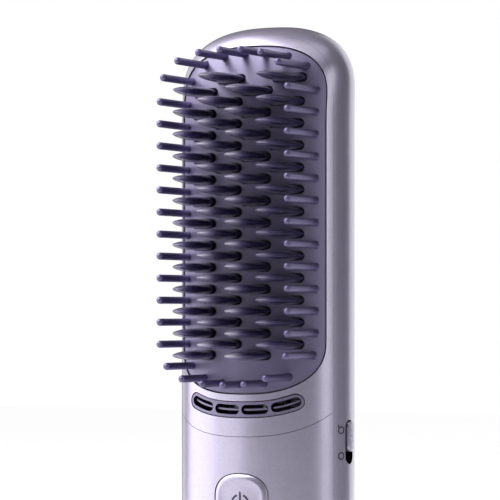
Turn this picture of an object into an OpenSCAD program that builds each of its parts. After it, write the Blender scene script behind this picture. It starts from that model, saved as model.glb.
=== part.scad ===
// Cordless straightening brush: an oval bar with a domed head. The head carries a convex comb
// panel with heated blade teeth and a ring of cool pins, an air outlet under it, and the handle a
// push button in front and a slide switch on the side. Battery, board and heater sit inside.
// Millimetres. +Z runs up the handle, -Y is the comb side, +X the switch side.
// Origin: centre of the flat bottom end that the brush stands on.

/* [Body] */
// Height of the whole brush, bottom end to crown
body_h = 205; // [200:1:225]
// Width of the oval bar, side to side
body_w = 42; // [41:0.5:46]
// Depth of the oval bar, comb side to rear
body_d = 27.8; // [27.4:0.2:31]
// Thickness of the moulded housing walls
wall = 1.6; // [1.4:0.1:1.9]
// Rounding round the bottom end
foot_r = 2; // [1:0.5:2.5]
// Height over which the sides draw in to the crown
crown_side_h = 15; // [12:1:18]
// Height over which the comb side draws in to the crown
crown_front_h = 24; // [20:1:28]
// Height over which the rear draws in to the crown
crown_rear_h = 16; // [12:1:20]
// How far the highest point lies behind the middle of the bar
crown_back = 2.3; // [1:0.1:3]
// Distance of the front and rear shell's parting line ahead of the middle
split_y = 5.4; // [5:0.1:5.8]
// How far that line leans back up to the crown's top
split_lean = 1; // [0:0.1:2]
// Open line left between two housing pieces
seam = 0.14; // [0.08:0.02:0.3]
// Height of the bottom cap
cap_h = 3; // [2.6:0.1:3.4]

/* [Head] */
// Height of the seam between head frame and handle cover, at its lowest point
head_z = 111.5; // [111:0.5:113]
// Rise of that seam from the middle to the sides
head_rise = 11.3; // [9:0.1:12.5]
// Distance of the comb panel's edge in from the sides of the body
panel_side = 3; // [2.5:0.1:3.2]
// Lower end of the comb panel
panel_z = 121.3; // [120.8:0.1:121.6]
// Distance of the comb panel's upper end below the crown
panel_below = 5.2; // [4.8:0.1:5.8]
// Height of the rounded part at both panel ends
panel_end = 12; // [10:0.5:14]
// How deep the panel lies under the housing surface
panel_drop = 0.45; // [0.3:0.05:0.7]
// Thickness of the comb panel
panel_t = 1.8; // [1.5:0.1:2]
// Dark line left round the panel
panel_gap = 0.25; // [0.2:0.05:0.4]

/* [Teeth and pins] */
// Step from one tooth to the next in a column
pitch = 4.96; // [4.9:0.02:5.02]
// Distance of the uppermost tooth below the panel's upper end
tooth_below = 7.95; // [7.6:0.05:8.2]
// How much higher the uppermost row of the even columns sits than its step
first_rise = 0.45; // [0:0.05:0.6]
// Distance of the outer tooth columns in from the panel's edge
column_in = 7.6; // [7.4:0.05:7.8]
// How far the tooth roots of neighbouring columns pass each other
tooth_lap = 0.65; // [0:0.05:0.7]
// Thickness of a tooth where it leaves the panel
tooth_t = 2.6; // [2.2:0.1:2.7]
// Width of a tooth at its tip
tip_w = 3; // [2.4:0.1:3.6]
// Thickness of a tooth at its tip
tip_t = 1.1; // [0.9:0.05:1.3]
// Distance of the tips of the two inner columns ahead of the middle
tooth_reach = 26.1; // [25.4:0.1:27]
// Distance of the pin tips ahead of the middle
pin_reach = 22.95; // [22:0.05:24]
// Diameter of a cool pin
pin_d = 1.5; // [1.3:0.05:1.6]
// Distance of the pins from the panel's edge
pin_inset = 2.05; // [1.9:0.05:2.2]
// The same for the upper row
pin_inset_top = 1.75; // [1.6:0.05:2.3]
// Share by which all tips follow the panel as it falls back under the crown
tip_follow = 0.2; // [0:0.05:0.5]

/* [Air outlet] */
// Middle of the outlet at its lowest point
vent_z = 117.6; // [117.4:0.1:117.8]
// Distance of the outlet's ends in from the sides of the body
vent_side = 6.6; // [6:0.1:7.5]
// Height of the outlet band
vent_h = 3.7; // [3.4:0.1:3.9]
// Height of the four slots
slot_h = 1.95; // [1.6:0.05:2.1]
// Solid bar between two slots
slot_bar = 0.8; // [0.6:0.05:1.1]

/* [Button and switch] */
// Height of the button's middle
button_z = 96.4; // [95:0.1:97]
// Width of the button
button_w = 13.4; // [12:0.1:14]
// Height of the button
button_h = 13.6; // [12:0.1:14]
// Open line round the button
button_gap = 0.25; // [0.2:0.05:0.35]
// Way the button moves inwards
button_travel = 0.6; // [0.4:0.05:0.7]
// Lower end of the slide switch's slot
slot_z = 105.3; // [105:0.1:105.6]
// Length of that slot
slot_len = 9.9; // [9.6:0.1:10.1]
// Width of that slot
slot_w = 3.3; // [3:0.05:3.5]
// Open line beside the slider in its slot
slider_gap = 0.18; // [0.12:0.02:0.24]
// Way the slider moves down
slider_travel = 2.5; // [2.2:0.05:2.6]

/* [Inside] */
// Free room beside the battery cells
cell_room = 1.2; // [1:0.1:2.4]
// Length of a battery cell
cell_len = 65; // [60:0.5:66]
// Thickness of the circuit boards
board_t = 1.2; // [1:0.1:1.6]
// Diameter of the screw shanks
screw_d = 2; // [1.7:0.05:2]
// Length of the screw shanks
screw_len = 4.4; // [4:0.1:4.4]

/* [Hidden] */

// segments round the oval, levels in the crown
ring_n = 60;
crown_n = 10;
// clearance of inner pieces that only lie beside each other
fit = 0.05;
half_w = body_w / 2;
half_d = body_d / 2;
// reach of the prisms that cut from the front
far = 3 * half_d;
panel_w = body_w - 2 * panel_side;
panel_h = body_h - panel_below - panel_z;
tooth_top = panel_z + panel_h - tooth_below;
// rows of teeth that end about 8 above the panel's lower end
tooth_rows = 1 + floor((tooth_top - panel_z - 8) / pitch - 0.5);
column_step = (panel_w - 2 * column_in) / 3;
tooth_w = column_step + tooth_lap;
vent_w = body_w - 2 * vent_side;
cell_d = half_w - wall - cell_room;
// pieces behind the comb panel, as depths under the housing surface
plate_in = panel_drop + panel_t + 0.5;
plate_t = 2;
plate_back = -6.6;
strip_t = 2.6;
clamp_t = 1.2;
tray_y = plate_back + strip_t + clamp_t + 0.2;
heater_z = panel_z + 9.9;
heater_h = panel_h - 22.9;
// half widths of the heater's pad, of its tray and of the main board
pad_w = half_w - 10.6;
tray_w = half_w - 8;
strip_w = pad_w - 1.4;
clamp_w = pad_w + 0.8;
board_w = half_w - 8;
hole_x = board_w - 4.2;
// board plane and what stands on it
board_y = -6.4;
board_z = 84;
board_h = 32.4;
hole_zs = [board_z + 2.6, board_z + board_h - 7.6];
lug_zs = [heater_z + 4, heater_z + heater_h - 8];
switch_y = -9.2;
plunger_y = -9.7;
slider_len = slot_len - slider_travel - 2 * slider_gap;
slider_z = slot_z + slot_len - slider_gap - slider_len;
lever_z = slider_z + slider_len / 2;
cell_z = cap_h + 7.5;
cell_x = cell_d / 2 + 0.15;
post_x = half_w - 6.5;
post_y = 3.4;
lug_x = half_w - 4.6;
// panel and frame meet this far ahead of the parting line
rest_in = 0.65;

lavender = [0.76, 0.73, 0.82];
violet = [0.3, 0.27, 0.4];
silver = [0.75, 0.75, 0.77];
black = [0.12, 0.12, 0.14];
green = [0.1, 0.32, 0.2];

// 1 below the crown, falling to 0 at its top along a rounded curve
function dome(z, top, h, n) =
    z <= top - h ? 1 : pow(max(0.003, 1 - pow((z - top + h) / h, n)), 1 / n);
// the outer form at height z, lying k under the housing surface
function side_x(z, k) = (half_w - k) * dome(z, body_h - k, crown_side_h - k, 2.5);
function front_fall(z, k) = dome(z, body_h - k, crown_front_h - k, 2);
function rear_fall(z, k) = dome(z, body_h - k, crown_rear_h - k, 2.2);
function mid_y(z, k) = crown_back * (1 - front_fall(z, k));
function front_y(z, k) = crown_back - (half_d - k + crown_back) * front_fall(z, k);
function rear_y(z, k) = crown_back + (half_d - k - crown_back) * rear_fall(z, k);
function ring(z, k) = [for (i = [0:ring_n - 1])
    let (t = 360 * i / ring_n, m = mid_y(z, k), far = sin(t) > 0 ? rear_y(z, k) - m : m - front_y(z, k))
    [side_x(z, k) * cos(t), m + far * sin(t), z]];
// comb-side surface at a point of the front view
function skin_y(x, z, k) =
    mid_y(z, k) - (mid_y(z, k) - front_y(z, k)) * sqrt(max(0, 1 - pow(x / side_x(z, k), 2)));
function crown_levels(k) = [for (i = [0:crown_n])
    body_h - crown_front_h + (crown_front_h - k) * sin(90 * i / crown_n)];
function foot_levels() = [for (i = [0:3]) foot_r * (1 - cos(30 * i))];
function foot_inset(z) = z >= foot_r ? 0 : foot_r - sqrt(pow(foot_r, 2) - pow(foot_r - z, 2));
function oval(k) = [for (i = [0:ring_n - 1])
    [(half_w - k) * cos(360 * i / ring_n), (half_d - k) * sin(360 * i / ring_n)]];
// rounded arch over -w..w, h high
function arch(w, h, n, steps) = [for (i = [0:steps]) let (c = cos(180 * i / steps))
    [w * sign(c) * pow(abs(c), 2 / n), h * pow(max(0, 1 - c * c), 1 / n)]];
function arched_ends(w, z0, z1, h, n, steps) = concat(
    [for (p = arch(w, h, n, steps)) [p[0], z1 - h + p[1]]],
    [for (p = arch(w, h, n, steps)) [-p[0], z0 + h - p[1]]]);
function panel_outline(grow) = arched_ends(panel_w / 2 + grow, panel_z - grow,
    panel_z + panel_h + grow, panel_end + grow, 2.6, 28);
// upward curve of the seam and of the air outlet
function smile(x, w, h, n) = h * (1 - pow(max(0, 1 - pow(abs(x / w), n)), 1 / n));
function seam_rise(x) = smile(x, half_w + 0.05, head_rise, 2.4);
function vent_rise(x) = smile(x, half_w - 1.6, 12, 2.5);
// band of half height r along a curve of the front view, with round ends
function turn(a, b) = atan2(b[1] - a[1], b[0] - a[0]);
function band(p, r) = let (n = len(p) - 1,
        a = [for (i = [0:n]) turn(p[max(0, i - 1)], p[min(n, i + 1)])])
    concat([for (i = [0:n]) p[i] + r * [-sin(a[i]), cos(a[i])]],
        [for (s = [1:5]) p[n] + r * [cos(a[n] + 90 - 30 * s), sin(a[n] + 90 - 30 * s)]],
        [for (i = [n:-1:0]) p[i] - r * [-sin(a[i]), cos(a[i])]],
        [for (s = [1:5]) p[0] + r * [cos(a[0] - 90 - 30 * s), sin(a[0] - 90 - 30 * s)]]);
function vent_line(x0, x1, steps) = [for (i = [0:steps]) let (x = x0 + (x1 - x0) * i / steps)
    [x, vent_z + vent_rise(x)]];

// solid through a stack of rings of equal count
module loft(rings) {
    n = len(rings[0]);
    last = len(rings) - 1;
    polyhedron(
        points = [for (r = rings) each r],
        faces = concat([[for (i = [0:n - 1]) i]], [[for (i = [n - 1:-1:0]) last * n + i]],
            [for (l = [0:last - 1], i = [0:n - 1]) let (j = (i + 1) % n)
                each [[l * n + i, (l + 1) * n + i, (l + 1) * n + j],
                      [l * n + i, (l + 1) * n + j, l * n + j]]]));
}

// outer form with its crown, k under the surface
module form(k, from) {
    loft(concat([ring(from, k)], [for (z = crown_levels(k)) ring(z, k)]));
}

// straight part of the same form
module bar(k, from, to) {
    translate([0, 0, from]) linear_extrude(to - from) polygon(oval(k));
}

// solid of a front-view outline, reaching from y0 back to y1
module front_prism(points, y0, y1) {
    translate([0, y1, 0]) rotate([90, 0, 0]) linear_extrude(y1 - y0) polygon(points);
}

// everything ahead of the parting line of front and rear shell, which bends back in the crown
function parting(z) = -split_y + split_lean * pow(max(0, z - body_h + crown_front_h) / crown_front_h, 2);
module ahead(gap) {
    translate([-40, 0, 0]) rotate([90, 0, 90]) linear_extrude(80) polygon(concat(
        [[-far, body_h + 1], [-far, -1], [parting(0) - gap, -1]],
        [for (i = [0:12]) let (z = body_h - crown_front_h * (1 - i / 12)) [parting(z) - gap, z]],
        [[parting(body_h) - gap, body_h + 1]]));
}

// everything above the seam under the head, or below it
module above_seam(gap) {
    front_prism(concat([for (x = [-half_w - 1:1:half_w + 1]) [x, head_z + gap + seam_rise(x)]],
        [[half_w + 1, body_h + 1], [-half_w - 1, body_h + 1]]), -far, 0);
}
module below_seam(gap, from) {
    front_prism(concat([for (x = [-half_w - 1:1:half_w + 1]) [x, head_z - gap + seam_rise(x)]],
        [[half_w + 1, from], [-half_w - 1, from]]), -far, 0);
}

module stadium(w, h) {
    // long along y
    union() {
        translate([0, (h - w) / 2]) circle(d = w, $fn = 32);
        translate([0, (w - h) / 2]) circle(d = w, $fn = 32);
        square([w, h - w], center = true);
    }
}

// housing

module back_shell() {
    color(lavender) difference() {
        union() {
            difference() {
                form(0, cap_h + seam);
                form(wall, cap_h - 1);
                ahead(-seam / 2);
            }
            // posts for the screws of the bottom cap
            for (s = [-1, 1]) intersection() {
                translate([s * post_x - 2.4, post_y - 2.4, cap_h + seam]) cube([4.8, 20, 6]);
                bar(wall / 2, cap_h + seam, cap_h + 7);
            }
        }
        // slot of the slide switch
        translate([half_w - 6, -0.5, slot_z + slot_len / 2]) rotate([90, 0, 90])
            linear_extrude(10) stadium(slot_w, slot_len);
        for (s = [-1, 1]) translate([s * post_x, post_y, 0])
            cylinder(r = screw_d / 2 + 0.02, h = cap_h + 5, $fn = 32);
    }
}

// strip along the panel's edge in the front view, as a solid
module panel_edge(out, in) {
    difference() {
        front_prism(panel_outline(out), -far, 0);
        front_prism(panel_outline(-in), -far - 1, 1);
    }
}

// strip under the panel's edge, k under the housing surface, between two depths from the parting line
module side_ledge(k, back, front) {
    intersection() {
        form(k, head_z);
        difference() {
            ahead(back);
            ahead(front);
        }
        panel_edge(1.3, 2.2);
        above_seam(4);
    }
}

module head_frame() {
    color(lavender) difference() {
        union() {
            // visible skin round the panel
            intersection() {
                difference() {
                    form(0, head_z - 1);
                    form(wall, head_z - 2);
                    front_prism(panel_outline(panel_gap), -far, 1);
                }
                ahead(seam / 2);
                above_seam(seam / 2);
            }
            // ledge under both ends of the panel
            intersection() {
                difference() {
                    form(panel_drop + panel_t + fit, head_z);
                    form(panel_drop + panel_t + 1.2, head_z - 1);
                }
                ahead(seam / 2);
                panel_edge(1.3, 1.2);
            }
            intersection() {
                difference() {
                    form(wall / 2, head_z);
                    form(panel_drop + panel_t + 1.2, head_z - 1);
                }
                ahead(seam / 2);
                panel_edge(1.3, -panel_gap);
            }
            // ledge along the panel's sides, with a skirt that reaches into the rear shell
            difference() {
                union() {
                    side_ledge(0.1, seam / 2, rest_in - fit);
                    side_ledge(wall + 0.1, -1.8, 0.3);
                }
                translate([-tray_w, -far, 0]) cube([2 * tray_w, 2 * far, body_h]);
            }
            // posts for the screws of the heater tray
            for (s = [-1, 1], z = lug_zs) intersection() {
                translate([s * lug_x - 1.6, -split_y - rest_in + 0.1, z - 2.2])
                    cube([3.2, split_y + rest_in - 0.1 + tray_y, 4.4]);
                bar(wall + 0.1, head_z, body_h - crown_front_h + 6);
            }
        }
        front_prism(band(vent_line(-vent_w / 2 + vent_h / 2, vent_w / 2 - vent_h / 2, 16),
            vent_h / 2), -far, -5);
        for (s = [-1, 1], z = lug_zs)
            translate([s * lug_x, tray_y + 0.01, z]) rotate([90, 0, 0])
                cylinder(r = screw_d / 2 + 0.02, h = screw_len - 1.1, $fn = 32);
    }
}

module front_cover() {
    color(lavender) difference() {
        union() {
            intersection() {
                difference() {
                    bar(0, cap_h + seam, head_z + 14);
                    bar(wall, cap_h - 1, head_z + 15);
                }
                ahead(seam / 2);
                below_seam(seam / 2, 0);
            }
            // lip that reaches under the head frame
            intersection() {
                difference() {
                    bar(wall - 0.3, head_z - 4, head_z + 14);
                    bar(wall + 1, head_z - 5, head_z + 15);
                }
                ahead(seam / 2 + 0.5);
                below_seam(1, head_z - 4);
            }
            intersection() {
                difference() {
                    bar(wall + fit, head_z - 4, head_z + 14);
                    bar(wall + 1, head_z - 5, head_z + 15);
                }
                ahead(seam / 2 + 0.5);
                below_seam(-1.4, head_z - 4);
            }
            // posts for the main board
            for (s = [-1, 1], z = hole_zs) intersection() {
                translate([s * hole_x - 1.9, -half_d, z - 1.9]) cube([3.8, half_d + board_y, 3.8]);
                bar(wall / 2, cap_h, head_z + 4);
            }
        }
        button_outline(button_gap, -far, -5);
        for (s = [-1, 1], z = hole_zs)
            translate([s * hole_x, board_y + 0.01, z]) rotate([90, 0, 0])
                cylinder(r = screw_d / 2 + 0.02, h = screw_len - board_t + 0.1, $fn = 32);
    }
}

module end_cap() {
    color(lavender) difference() {
        union() {
            loft([for (z = concat(foot_levels(), [foot_r, cap_h]))
                [for (p = oval(foot_inset(z))) [p[0], p[1], z]]]);
            // tongues that hold it in the shells
            intersection() {
                difference() {
                    bar(wall + 0.1, cap_h - 0.5, cap_h + 4);
                    bar(wall + 1.3, cap_h - 1, cap_h + 5);
                }
                translate([-8, -20, 0]) cube([16, 40, 10]);
            }
        }
        translate([0, 0, -1]) linear_extrude(10) rotate(90) stadium(3.5, 9.2);
        for (s = [-1, 1]) translate([s * post_x, post_y, -1]) {
            cylinder(d = screw_d + 0.3, h = 6, $fn = 32);
            cylinder(d = 4.3, h = 1 + 1.7, $fn = 32);
        }
    }
}

// comb

// tooth columns from left to right: odd ones start half a step lower
function column_x(c) = (c - 1.5) * column_step;
function row_z(r) = tooth_top - pitch * r + (r == 0 ? first_rise : 0);
function tooth_z(c, r) = c % 2 == 0 ? tooth_top - pitch * (r + 0.5) : row_z(r);
function tooth_tip(c, z) = -tooth_reach + (c % 3 == 0 ? 1.4 : 0) + recede(z);
function recede(z) = tip_follow * (half_d - panel_drop + front_y(z, panel_drop));
function leaf(w, t, y) = [for (i = [0:11]) let (a = 360 * i / 12)
    [w / 2 * sign(cos(a)) * pow(abs(cos(a)), 0.85), y, t / 2 * sin(a)]];

module tooth(root, tip) {
    len = root - tip;
    loft([for (s = [0, 0.4, 0.7, 0.93, 1])
        leaf(tip_w + (tooth_w - tip_w) * (1 - pow(s, 1.7)) - (s == 1 ? 1.2 : 0),
            tip_t + (tooth_t - tip_t) * (1 - pow(s, 2.4)) - (s == 1 ? 0.6 : 0), root - len * s)]);
}

module heated_teeth() {
    color(violet) difference() {
        for (c = [0:3], r = [0:tooth_rows - 1]) {
            z = tooth_z(c, r);
            x = column_x(c);
            translate([x, 0, z]) tooth(skin_y(abs(x) + tooth_w / 2, z, plate_in), tooth_tip(c, z));
        }
        // the roots are cut to the heating plate they stand on
        form(plate_in - fit, panel_z - pitch);
    }
}

module comb_panel() {
    color(violet) difference() {
        intersection() {
            difference() {
                form(panel_drop, panel_z - 2);
                form(panel_drop + panel_t, panel_z - 3);
            }
            front_prism(panel_outline(0), -far, 0);
            ahead(rest_in);
        }
        for (c = [0:3], r = [0:tooth_rows - 1])
            translate([column_x(c), 0, tooth_z(c, r)]) rotate([90, 0, 0])
                linear_extrude(40) rotate(90) stadium(tooth_t + 0.1, tooth_w + 0.1);
        for (p = pin_places) translate([p[0], 0, p[1]]) rotate([90, 0, 0])
            cylinder(d = pin_d + 0.02, h = 40, $fn = 24);
    }
}

module heating_plate() {
    color(silver) union() {
        intersection() {
            difference() {
                form(plate_in, panel_z);
                form(plate_in + plate_t, panel_z - 1);
            }
            front_prism(panel_outline(-3.8), -far, -4.6);
        }
        // flat pad for the heater strips
        intersection() {
            translate([-pad_w, -far, heater_z - 2]) cube([2 * pad_w, far + plate_back, heater_h + 4]);
            form(plate_in + plate_t / 2, panel_z);
        }
    }
}

// pins follow the panel's edge: left column on the rows of the second tooth column, right
// column half a step lower, six over and five under the teeth
pin_w = panel_w / 2 - pin_inset;
pin_end = panel_end - pin_inset;
pin_z1 = panel_z + panel_h - pin_inset_top;
pin_z0 = panel_z + pin_inset;
function end_fall(x) = smile(x, pin_w, pin_end, 2.6);
function pull_in(z) = let (u = max(z - (pin_z1 - pin_end), pin_z0 + pin_end - z, 0) / pin_end)
    pin_w * pow(1 - pow(min(u, 0.99), 2.6), 1 / 2.6);
pin_places = concat(
    [for (i = [0:tooth_rows]) let (z = row_z(i)) [-pull_in(z), z]],
    [for (i = [0:tooth_rows - 1]) let (z = tooth_top - pitch * (i + 0.5)) [pull_in(z), z]],
    [for (u = [-0.74, -0.414, -0.08, 0.245, 0.564, 0.84]) [u * pin_w, pin_z1 - end_fall(u * pin_w)]],
    [for (u = [-0.627, -0.307, 0.019, 0.351, 0.683]) [u * pin_w, pin_z0 + end_fall(u * pin_w)]]);

module cool_pins() {
    color(violet) for (p = pin_places) {
        root = skin_y(max(0, abs(p[0]) - pin_d / 2), p[1] - pin_d / 2, panel_drop + panel_t);
        tip = -pin_reach + recede(p[1]) - (abs(p[0]) < 12 && p[1] < panel_z + 8 ? 0.6 : 0);
        translate([p[0], root, p[1]]) rotate([90, 0, 0]) {
            cylinder(d = pin_d, h = root - tip - pin_d / 2, $fn = 24);
            translate([0, 0, root - tip - pin_d / 2]) sphere(d = pin_d, $fn = 24);
        }
    }
}

slot_step = (vent_w - 1.6 + slot_bar) / 4;
module air_grille() {
    color(violet) difference() {
        intersection() {
            difference() {
                bar(0.35, vent_z - 5, vent_z + 9);
                bar(wall + 0.2, vent_z - 6, vent_z + 10);
            }
            front_prism(band(vent_line(-vent_w / 2 + vent_h / 2, vent_w / 2 - vent_h / 2, 16),
                vent_h / 2 - 0.06), -far, -5);
        }
        for (i = [0:3]) {
            x0 = -vent_w / 2 + 0.8 + i * slot_step + slot_h / 2;
            x1 = x0 + slot_step - slot_bar - slot_h;
            // each slot is cut in two by a thin louvre that lies deeper
            difference() {
                front_prism(band(vent_line(x0, x1, 6), slot_h / 2), -far, -5);
                intersection() {
                    front_prism(band(vent_line(x0 - 2, x1 + 2, 8), 0.22), -far, -5);
                    bar(0.95, vent_z - 5, vent_z + 9);
                }
            }
        }
    }
}

// button and slide switch

module button_outline(grow, y0, y1) {
    front_prism(arched_ends(button_w / 2 + grow, button_z - button_h / 2 - grow,
        button_z + button_h / 2 + grow, 5.2 + grow / 2, 2.3, 20), y0, y1);
}

module symbol(grow) {
    translate([0, 0, button_z]) rotate([90, 0, 0]) linear_extrude(40) {
        difference() {
            circle(r = 2.35 + grow, $fn = 48);
            circle(r = 1.85 - grow, $fn = 48);
            polygon([[0, -0.4], [-1.9, 4], [1.9, 4]]);
        }
        translate([-0.25 - grow, 0.5 - grow]) square([0.5 + 2 * grow, 2.3 + 2 * grow]);
    }
}

module power_button() {
    color(lavender) difference() {
        union() {
            intersection() {
                difference() {
                    bar(-0.2, button_z - 12, button_z + 12);
                    bar(wall + 1.25, button_z - 13, button_z + 13);
                }
                button_outline(0, -far, -5);
            }
            // flange that keeps it in the cover
            intersection() {
                difference() {
                    bar(wall + 0.35, button_z - 12, button_z + 12);
                    bar(wall + 1.25, button_z - 13, button_z + 13);
                }
                button_outline(0.9, -far, -5);
            }
            translate([0, plunger_y, button_z]) rotate([90, 0, 0])
                cylinder(d = 2.8, h = half_d - wall - 1.25 + plunger_y + 0.3, $fn = 32);
        }
        // dished face inside a raised rim
        intersection() {
            difference() {
                bar(-1, button_z - 12, button_z + 12);
                bar(0.3, button_z - 13, button_z + 13);
            }
            button_outline(-1.1, -far, -5);
        }
        intersection() {
            difference() {
                bar(-1, button_z - 12, button_z + 12);
                bar(0.55, button_z - 13, button_z + 13);
            }
            symbol(0);
        }
    }
}

module power_symbol() {
    color(black) intersection() {
        difference() {
            bar(0.34, button_z - 12, button_z + 12);
            bar(0.55, button_z - 13, button_z + 13);
        }
        symbol(-0.02);
    }
}

module button_plunger() {
    color(black) translate([0, plunger_y + 2.1, button_z]) rotate([90, 0, 0])
        cylinder(d = 3.2, h = 2.1, $fn = 32);
}

module button_switch() {
    color(silver) difference() {
        translate([-3, switch_y, button_z - 3]) cube([6, board_y - switch_y, 6]);
        translate([0, board_y - 0.4, button_z]) rotate([90, 0, 0])
            cylinder(d = 3.6, h = 6, $fn = 32);
    }
}

module lock_slider() {
    color(lavender) {
        // thumb piece in the slot, its face a little proud
        intersection() {
            translate([half_w - 3, -0.5, slider_z + slider_len / 2]) rotate([90, 0, 90])
                linear_extrude(6) stadium(slot_w - 2 * slider_gap, slider_len);
            bar(-0.3, slider_z - 1, slider_z + slider_len + 1);
        }
        translate([half_w - 3.2, -2.9, slider_z - 1.4]) cube([0.8, 4.8, slider_len + 2.8]);
        // fork round the switch lever
        for (s = [-1, 1]) translate([half_w - 4.6, -1.3, lever_z + s * 1.25 - 0.35])
            cube([1.5, 1.6, 0.7]);
    }
}

module switch_lever() {
    color(black) translate([half_w - 6.6, -1.2, lever_z - 0.8]) cube([3.3, 1.4, 1.6]);
}

module slide_switch() {
    color(silver) difference() {
        translate([half_w - 10, board_y + board_t, lever_z - 6.8]) cube([4.4, 6.4, 11]);
        translate([half_w - 7.2, -1.5, lever_z - 0.8 - slider_travel - 0.3])
            cube([3, 2, 1.6 + slider_travel + 0.6]);
    }
}

module circuit_board() {
    color(green) difference() {
        translate([-board_w, board_y, board_z]) cube([2 * board_w, board_t, board_h]);
        for (s = [-1, 1], z = hole_zs)
            translate([s * hole_x, 0, z]) rotate([90, 0, 0])
                cylinder(d = screw_d + 0.3, h = 20, $fn = 32);
    }
}

module board_parts() {
    back = board_y + board_t;
    color(black) {
        // controller, two power transistors, coil and two capacitors
        translate([-4.5, back, board_z + 20]) cube([7, 1.2, 7]);
        for (x = [-9.5, -2.5]) translate([x, back, board_z + 9]) cube([5, 2.2, 6]);
        translate([board_w - 8, back, board_z + 7]) cube([7, 3.6, 7]);
        for (x = [-3.4, 2.4]) translate([x, back + 5.5, board_z + 3.2]) rotate([90, 0, 0])
            cylinder(d = 4, h = 5.5, $fn = 32);
    }
}

// heater

module heater_strips() {
    color([0.9, 0.88, 0.8]) for (s = [-1, 1])
        translate([s * (strip_w / 2 + 0.5) - strip_w / 2, plate_back, heater_z])
            cube([strip_w, strip_t, heater_h]);
}

module heater_clamp() {
    y = plate_back + strip_t;
    color(silver) translate([0, 0, heater_z + 2]) linear_extrude(heater_h - 6)
        polygon([[-clamp_w, y - 1.7], [1 - clamp_w, y - 1.7], [1 - clamp_w, y], [clamp_w - 1, y],
            [clamp_w - 1, y - 1.7], [clamp_w, y - 1.7], [clamp_w, y + clamp_t], [-clamp_w, y + clamp_t]]);
}

module insulating_tray() {
    color([0.85, 0.8, 0.65]) difference() {
        union() {
            translate([-tray_w, tray_y, heater_z - 5]) cube([2 * tray_w, 1.2, heater_h + 7]);
            for (s = [-1, 1]) translate([s * (tray_w - 0.5) - 0.6, tray_y - 1.9, heater_z - 5])
                cube([1.2, 2.5, heater_h + 7]);
            for (s = [-1, 1], z = lug_zs)
                translate([s * (lug_x - 0.8) - 2.6, tray_y, z - 2.4]) cube([5.2, 1.2, 4.8]);
        }
        translate([-3, tray_y - 1, heater_z + 20]) cube([6, 4, 16]);
        for (s = [-1, 1], z = lug_zs)
            translate([s * lug_x, 0, z]) rotate([90, 0, 0]) cylinder(d = screw_d + 0.3, h = 20, $fn = 32);
    }
}

module thermal_fuse() {
    color(silver) translate([0, tray_y - 0.2 + 1.3, heater_z + 22]) {
        cylinder(d = 2.6, h = 12, $fn = 32);
        translate([0, 0, -1.5]) cylinder(d = 0.6, h = 15, $fn = 16);
    }
}

module heater_leads() {
    color([0.75, 0.15, 0.12]) for (s = [-1, 1])
        translate([s * 8, board_y + 0.7, board_z + board_h])
            cylinder(d = 1.4, h = heater_z - board_z - board_h, $fn = 24);
}

module ion_module() {
    color(black) translate([-8, tray_y + 1.2, heater_z - 2]) cube([16, 8.6, 13]);
}

module ion_needles() {
    z = vent_z + 0.6;
    color(silver) for (s = [-1, 1]) translate([s * 3.6, tray_y + 3, 0]) {
        translate([0, 0, z]) cylinder(d = 0.8, h = heater_z - 2 - z, $fn = 16);
        translate([0, 0, z]) sphere(d = 0.8, $fn = 16);
        translate([0, 0, z]) rotate([90, 0, 0]) cylinder(d = 0.8, h = 9, $fn = 16);
    }
}

// battery and charging inlet

module battery_cells() {
    color([0.2, 0.45, 0.6]) for (s = [-1, 1]) translate([s * cell_x, 0, cell_z]) {
        cylinder(d = cell_d, h = cell_len - 1, $fn = 64);
        cylinder(d = 6, h = cell_len, $fn = 32);
    }
}

module cell_tabs() {
    color(silver) {
        translate([-cell_x - 4, -3, cell_z + cell_len]) cube([2 * cell_x + 8, 6, 0.2]);
        for (s = [-1, 1]) translate([s * cell_x - 3.5, -3, cell_z - 0.2]) cube([7, 6, 0.2]);
    }
}

module cell_holder() {
    color([0.9, 0.9, 0.88]) difference() {
        intersection() {
            bar(wall + 0.1, cell_z, cell_z + cell_len - 3);
            translate([4.5 - half_w, 2.5, 0]) cube([body_w - 9, half_d, body_h]);
        }
        for (s = [-1, 1]) translate([s * cell_x, 0, cell_z - 1])
            cylinder(r = cell_d / 2 + 0.05, h = cell_len + 2, $fn = 64);
    }
}

module charge_port() {
    color(silver) {
        // drawn metal sleeve with the contact tongue in it
        difference() {
            translate([0, 0, 0.4]) linear_extrude(7.4) rotate(90) stadium(3.2, 8.9);
            translate([0, 0, 0]) linear_extrude(6.8) rotate(90) stadium(2.6, 8.3);
        }
        translate([-3.3, -0.35, 1.2]) cube([6.6, 0.7, 5.8]);
    }
}

module port_board() {
    color(green) difference() {
        translate([-7, 1.6, cap_h + 0.2]) cube([14, board_t, 6.6]);
        translate([-1.5, 1, cap_h + 5.5]) cube([3, 3, 2]);
    }
}

module screw() {
    difference() {
        cylinder(d = 3.8, h = 1.3, $fn = 32);
        for (a = [0, 90]) rotate(a) translate([-1.1, -0.25, -0.1]) cube([2.2, 0.5, 0.9]);
    }
    translate([0, 0, 1.3]) cylinder(d = screw_d, h = screw_len, $fn = 32);
}

module case_screws() {
    color(silver) {
        for (s = [-1, 1]) translate([s * post_x, post_y, 0.4]) screw();
        for (s = [-1, 1], z = lug_zs)
            translate([s * lug_x, tray_y + 2.5, z]) rotate([90, 0, 0]) screw();
        for (s = [-1, 1], z = hole_zs)
            translate([s * hole_x, board_y + board_t + 1.3, z]) rotate([90, 0, 0]) screw();
    }
}

back_shell();
head_frame();
front_cover();
end_cap();
comb_panel();
heating_plate();
heated_teeth();
cool_pins();
air_grille();
power_button();
power_symbol();
button_plunger();
button_switch();
lock_slider();
switch_lever();
slide_switch();
circuit_board();
board_parts();
heater_strips();
heater_clamp();
insulating_tray();
thermal_fuse();
heater_leads();
ion_module();
ion_needles();
battery_cells();
cell_tabs();
cell_holder();
charge_port();
port_board();
case_screws();
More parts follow.
